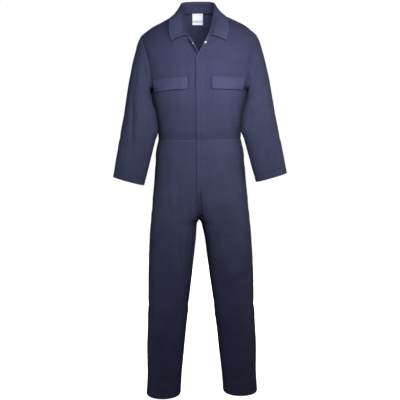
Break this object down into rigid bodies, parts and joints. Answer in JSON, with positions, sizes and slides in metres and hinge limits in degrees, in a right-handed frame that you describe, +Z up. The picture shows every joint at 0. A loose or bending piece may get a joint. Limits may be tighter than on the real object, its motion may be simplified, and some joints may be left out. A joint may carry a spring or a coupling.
{
  "type": "boiler suit",
  "caption": "Hollow one-piece work garment in worn form, with folded collar, open neck, covered front closing, flapped chest pockets, long sleeves and straight legs.",
  "frame": {"origin": "base of the neck, midway between the shoulders, where the wearer holds the suit up", "axes": "+Z up along the body, -Y towards the front, +X towards the wearer's left"},
  "size_m": [0.728, 0.2888, 1.6869],
  "materials": {
    "cloth": "matt woven twill",
    "double_cloth": "matt woven twill",
    "label": "smooth woven label",
    "stud_metal": "nickel plated"
  },
  "bodies": {
    "root": {"front_left": "cloth", "front_right": "cloth", "back": "cloth", "chest_pocket_left": "cloth", "chest_pocket_right": "cloth", "sleeve_left": "cloth", "sleeve_right": "cloth", "trouser_front_left": "cloth", "trouser_front_right": "cloth", "trouser_back_left": "cloth", "trouser_back_right": "cloth", "collar": "double_cloth", "fly_cover": "double_cloth", "fly_under": "double_cloth", "chest_flap_left": "double_cloth", "chest_flap_right": "double_cloth", "pocket_edge_left": "double_cloth", "pocket_edge_right": "double_cloth", "neck_label": "label", "stud_left": "stud_metal", "stud_right": "stud_metal"}
  },
  "joints": []
}
